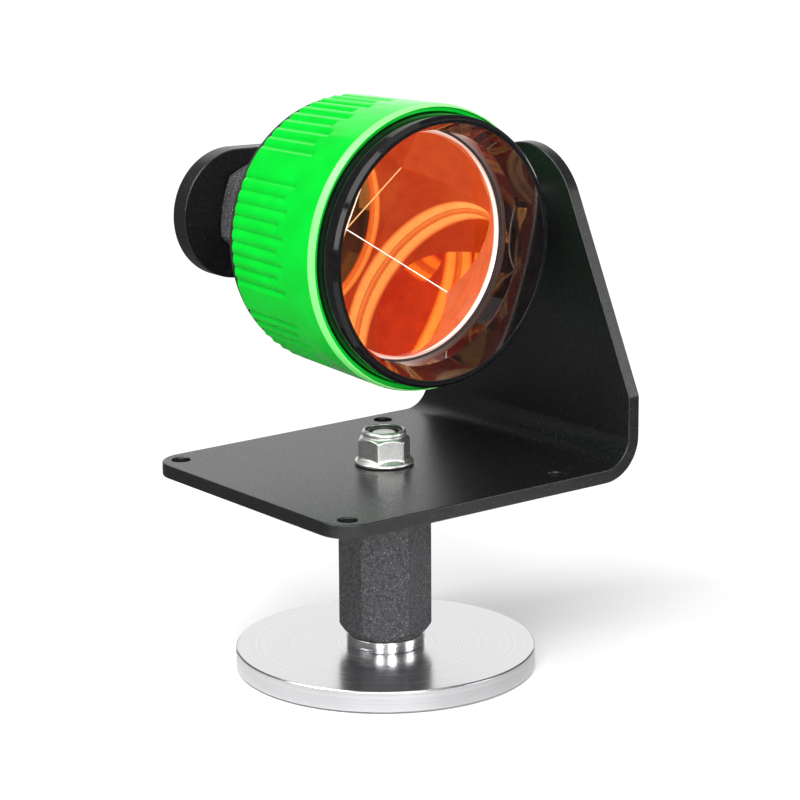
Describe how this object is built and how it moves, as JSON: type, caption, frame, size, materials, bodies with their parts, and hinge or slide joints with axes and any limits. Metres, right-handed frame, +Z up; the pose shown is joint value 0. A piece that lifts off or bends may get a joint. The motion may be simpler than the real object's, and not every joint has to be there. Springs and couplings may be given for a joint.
{
  "type": "survey prism",
  "caption": "Corner-cube survey target in a ribbed housing with a front hood, on a tilting arm, an L bracket, a hexagonal pillar and a disc base.",
  "frame": {"origin": "centre of the base disc's underside", "axes": "+Z up along the pillar; the reflector looks along -Y; the bracket's upright is on the +X side"},
  "size_m": [0.112, 0.1122, 0.16],
  "materials": {
    "turned_steel": "turned, bright",
    "speckled_coat": "rough speckled powder coat",
    "stainless": "satin",
    "nylon": "waxy",
    "black_coat": "fine-textured powder coat",
    "green_plastic": "satin",
    "black_gloss": "gloss",
    "black_matte": "matte",
    "seal_rubber": "matte",
    "coppered_glass": "polished, copper on the three rear faces",
    "brass": "machined"
  },
  "bodies": {
    "base": {"base_disc": "turned_steel", "base_collar": "turned_steel", "hex_pillar": "speckled_coat", "centre_stud": "stainless", "lock_nut": "stainless", "lock_nut_insert": "nylon"},
    "l_bracket": {"bracket": "black_coat", "tilt_bolt": "stainless", "tilt_washer": "nylon", "tilt_nut": "stainless", "tilt_nut_insert": "nylon"},
    "swing_arm": {"arm": "black_coat", "arm_washer": "stainless", "arm_bolt": "stainless"},
    "head": {"housing": "green_plastic", "hood": "black_gloss", "hood_seal": "seal_rubber", "corner_cube": "coppered_glass", "glass_gasket": "seal_rubber", "prism_cup": "black_matte", "cushion_ring": "seal_rubber", "rear_seal": "seal_rubber", "rear_cover": "black_matte", "boss_insert": "brass"}
  },
  "joints": [
    {"name": "pan", "type": "hinge", "parent": "base", "child": "l_bracket", "pos_m": [0, 0, 0.0542], "axis": [0, 0, 1], "continuous": true},
    {"name": "tilt", "type": "hinge", "parent": "l_bracket", "child": "swing_arm", "pos_m": [0.0464, 0, 0.1212], "axis": [1, 0, 0], "range_deg": [-55, 235]},
    {"name": "roll", "type": "hinge", "parent": "swing_arm", "child": "head", "pos_m": [0, 0.055, 0.1212], "axis": [0, 1, 0], "continuous": true}
  ]
}
